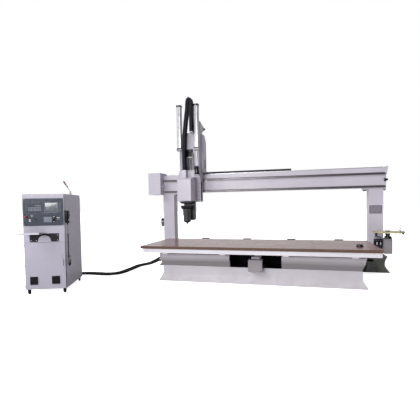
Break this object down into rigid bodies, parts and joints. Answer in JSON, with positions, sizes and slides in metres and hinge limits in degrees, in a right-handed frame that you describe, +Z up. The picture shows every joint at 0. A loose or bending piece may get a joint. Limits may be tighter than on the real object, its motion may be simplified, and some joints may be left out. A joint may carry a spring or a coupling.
{
  "type": "CNC router",
  "caption": "Moving-table CNC router: fixed gantry, swing-head spindle, tool disc, and a control cabinet joined by floor conduits.",
  "frame": {"origin": "on the floor, under the middle of the gantry, half way through the depth of its columns", "axes": "+X along the gantry beam to the right, +Y away from the operator, +Z up"},
  "size_m": [6.8942, 4.2151, 3.941],
  "materials": {
    "paint": "satin powder-coat, pale lavender grey",
    "base_paint": "dark grey-green enamel",
    "rail_steel": "ground steel",
    "dark_steel": "blackened steel",
    "screw_steel": "ground steel",
    "barrel_aluminium": "anodised extrusion",
    "chain_plastic": "black nylon",
    "black_housing": "gloss black enamel",
    "black_plastic": "black plastic",
    "rubber": "black rubber",
    "conduit": "black corrugated nylon",
    "board": "polished phenolic laminate",
    "magazine_yellow": "pale yellow enamel",
    "panel_navy": "dark navy membrane panel",
    "red_plastic": "red plastic",
    "green_plastic": "green plastic",
    "smoke_plastic": "smoked polycarbonate",
    "mast_plastic": "lamp lenses over a grey stem",
    "fork_steel": "zinc-plated steel"
  },
  "bodies": {
    "root": {"front_plinth": "paint", "rear_plinth": "paint", "bed_left": "paint", "bed_right": "paint", "gantry_base": "base_paint", "y_motor_cover": "paint", "column_left": "paint", "column_right": "paint", "beam": "paint", "x_rail_upper": "rail_steel", "x_rail_lower": "rail_steel", "x_rack": "rail_steel", "chain_tray": "paint", "beam_end_cover": "paint", "valve_block": "black_plastic", "air_filter_unit": "smoke_plastic", "magazine_post": "paint", "cabinet_shell": "paint", "control_panel": "panel_navy", "pendant": "black_plastic", "pendant_cord": "rubber", "conduit_front": "conduit", "conduit_rear": "conduit"},
    "y_screw": {"y_ball_screw": "screw_steel"},
    "table": {"table_frame": "paint", "table_board": "board", "tool_setter": "dark_steel"},
    "setter_plunger": {"tool_setter_button": "screw_steel"},
    "x_chain": {"x_drag_chain": "chain_plastic"},
    "regulator": {"regulator_knob": "black_plastic"},
    "carriage": {"x_saddle": "paint", "z_column": "paint", "x_motor": "black_housing", "z_motor": "black_housing", "z_motor_cover": "paint", "z_cylinder_left": "barrel_aluminium", "z_cylinder_right": "barrel_aluminium", "z_drag_chain": "chain_plastic"},
    "pinion": {"x_pinion": "screw_steel"},
    "z_screw": {"z_ball_screw": "screw_steel"},
    "ram": {"z_ram": "paint", "head_cover": "paint"},
    "spindle": {"spindle_housing": "black_housing"},
    "shaft": {"spindle_shaft": "screw_steel"},
    "magazine": {"magazine_disc": "magazine_yellow", "tool_holder_front": "dark_steel", "tool_holder_rear": "dark_steel"},
    "door": {"cabinet_door": "paint"},
    "stop_button": {"e_stop": "red_plastic"},
    "start": {"start_button": "green_plastic"},
    "override": {"override_knob": "black_plastic"},
    "shelf": {"operator_shelf": "paint"},
    "mast": {"signal_mast": "mast_plastic"},
    "fork_left": {"caster_fork_left": "fork_steel"},
    "fork_right": {"caster_fork_right": "fork_steel"},
    "wheel_front_left": {"caster_wheel_front_left": "rubber"},
    "wheel_front_right": {"caster_wheel_front_right": "rubber"},
    "wheel_rear_left": {"caster_wheel_rear_left": "rubber"},
    "wheel_rear_right": {"caster_wheel_rear_right": "rubber"},
    "handwheel": {"pendant_wheel": "fork_steel"}
  },
  "joints": [
    {"name": "table_travel", "type": "slide", "parent": "root", "child": "table", "axis": [0, 1, 0], "range_m": [0, 1.3]},
    {"name": "y_screw_spin", "type": "hinge", "parent": "root", "child": "y_screw", "pos_m": [0, -0.35, 0.45], "axis": [0, 1, 0], "continuous": true},
    {"name": "setter_press", "type": "slide", "parent": "table", "child": "setter_plunger", "axis": [0, 0, -1], "range_m": [0, 0.005], "stiffness_N_per_m": 3000, "springref_m": -0.001},
    {"name": "x_travel", "type": "slide", "parent": "root", "child": "carriage", "axis": [1, 0, 0], "range_m": [-0.33, 3.77]},
    {"name": "x_chain_travel", "type": "slide", "parent": "root", "child": "x_chain", "axis": [1, 0, 0], "range_m": [-0.165, 1.885]},
    {"name": "pinion_spin", "type": "hinge", "parent": "carriage", "child": "pinion", "pos_m": [-1.71, 0.031, 2.228], "axis": [0, 0, 1], "continuous": true},
    {"name": "z_travel", "type": "slide", "parent": "carriage", "child": "ram", "axis": [0, 0, 1], "range_m": [-0.3, 0.2], "deforming": ["z_drag_chain"]},
    {"name": "z_screw_spin", "type": "hinge", "parent": "carriage", "child": "z_screw", "pos_m": [-1.71, -0.25, 2.1], "axis": [0, 0, 1], "continuous": true},
    {"name": "swing", "type": "hinge", "parent": "ram", "child": "spindle", "pos_m": [-1.71, -0.434, 1.33], "axis": [0, 1, 0], "range_deg": [-100, 100]},
    {"name": "spindle_spin", "type": "hinge", "parent": "spindle", "child": "shaft", "pos_m": [-1.71, -0.524, 1.1], "axis": [0, 0, 1], "continuous": true},
    {"name": "magazine_turn", "type": "hinge", "parent": "root", "child": "magazine", "pos_m": [2.488, -0.45, 0.889], "axis": [0, 0, 1], "continuous": true},
    {"name": "regulator_turn", "type": "hinge", "parent": "root", "child": "regulator", "pos_m": [-2.562, 0, 1.147], "axis": [0, 0, 1], "range_deg": [-270, 270]},
    {"name": "door_open", "type": "hinge", "parent": "root", "child": "door", "pos_m": [-3.71523, -3.06384, 0.495], "axis": [0, 0, -1], "range_deg": [0, 120]},
    {"name": "stop_press", "type": "slide", "parent": "root", "child": "stop_button", "axis": [-0.3859, 0.9225, 0], "range_m": [0, 0.006]},
    {"name": "start_press", "type": "slide", "parent": "root", "child": "start", "axis": [-0.3859, 0.9225, 0], "range_m": [0, 0.003], "stiffness_N_per_m": 400},
    {"name": "override_turn", "type": "hinge", "parent": "root", "child": "override", "pos_m": [-3.25178, -2.89166, 1.29], "axis": [-0.3859, 0.9225, 0], "range_deg": [-135, 135]},
    {"name": "shelf_fold", "type": "hinge", "parent": "root", "child": "shelf", "pos_m": [-3.54201, -3.00114, 1.056], "axis": [0.9225, 0.3859, 0], "range_deg": [0, 90]},
    {"name": "mast_tilt", "type": "hinge", "parent": "root", "child": "mast", "pos_m": [-3.30509, -2.39365, 1.777], "axis": [-0.3859, 0.9225, 0], "range_deg": [-50, 31]},
    {"name": "caster_left_swivel", "type": "hinge", "parent": "root", "child": "fork_left", "pos_m": [-3.69546, -3.01005, 0.08], "axis": [0, 0, 1], "continuous": true},
    {"name": "caster_right_swivel", "type": "hinge", "parent": "root", "child": "fork_right", "pos_m": [-3.16408, -2.78776, 0.08], "axis": [0, 0, 1], "continuous": true},
    {"name": "wheel_front_left_roll", "type": "hinge", "parent": "fork_left", "child": "wheel_front_left", "pos_m": [-3.70241, -2.99344, 0.036], "axis": [0.9225, 0.3859, 0], "continuous": true},
    {"name": "wheel_front_right_roll", "type": "hinge", "parent": "fork_right", "child": "wheel_front_right", "pos_m": [-3.17103, -2.77116, 0.036], "axis": [0.9225, 0.3859, 0], "continuous": true},
    {"name": "wheel_rear_left_roll", "type": "hinge", "parent": "root", "child": "wheel_rear_left", "pos_m": [-4.04123, -2.18345, 0.036], "axis": [0.9225, 0.3859, 0], "continuous": true},
    {"name": "wheel_rear_right_roll", "type": "hinge", "parent": "root", "child": "wheel_rear_right", "pos_m": [-3.50985, -1.96117, 0.036], "axis": [0.9225, 0.3859, 0], "continuous": true},
    {"name": "handwheel_turn", "type": "hinge", "parent": "root", "child": "handwheel", "pos_m": [-3.06277, -2.73454, 1.27], "axis": [0.9225, 0.3859, 0], "continuous": true}
  ],
  "couplings": [
    {"joint": "y_screw_spin", "follows": "table_travel", "rad_per_m": 196.35},
    {"joint": "x_chain_travel", "follows": "x_travel", "ratio": 0.5},
    {"joint": "pinion_spin", "follows": "x_travel", "rad_per_m": 35.714},
    {"joint": "z_screw_spin", "follows": "z_travel", "rad_per_m": 251.33}
  ]
}
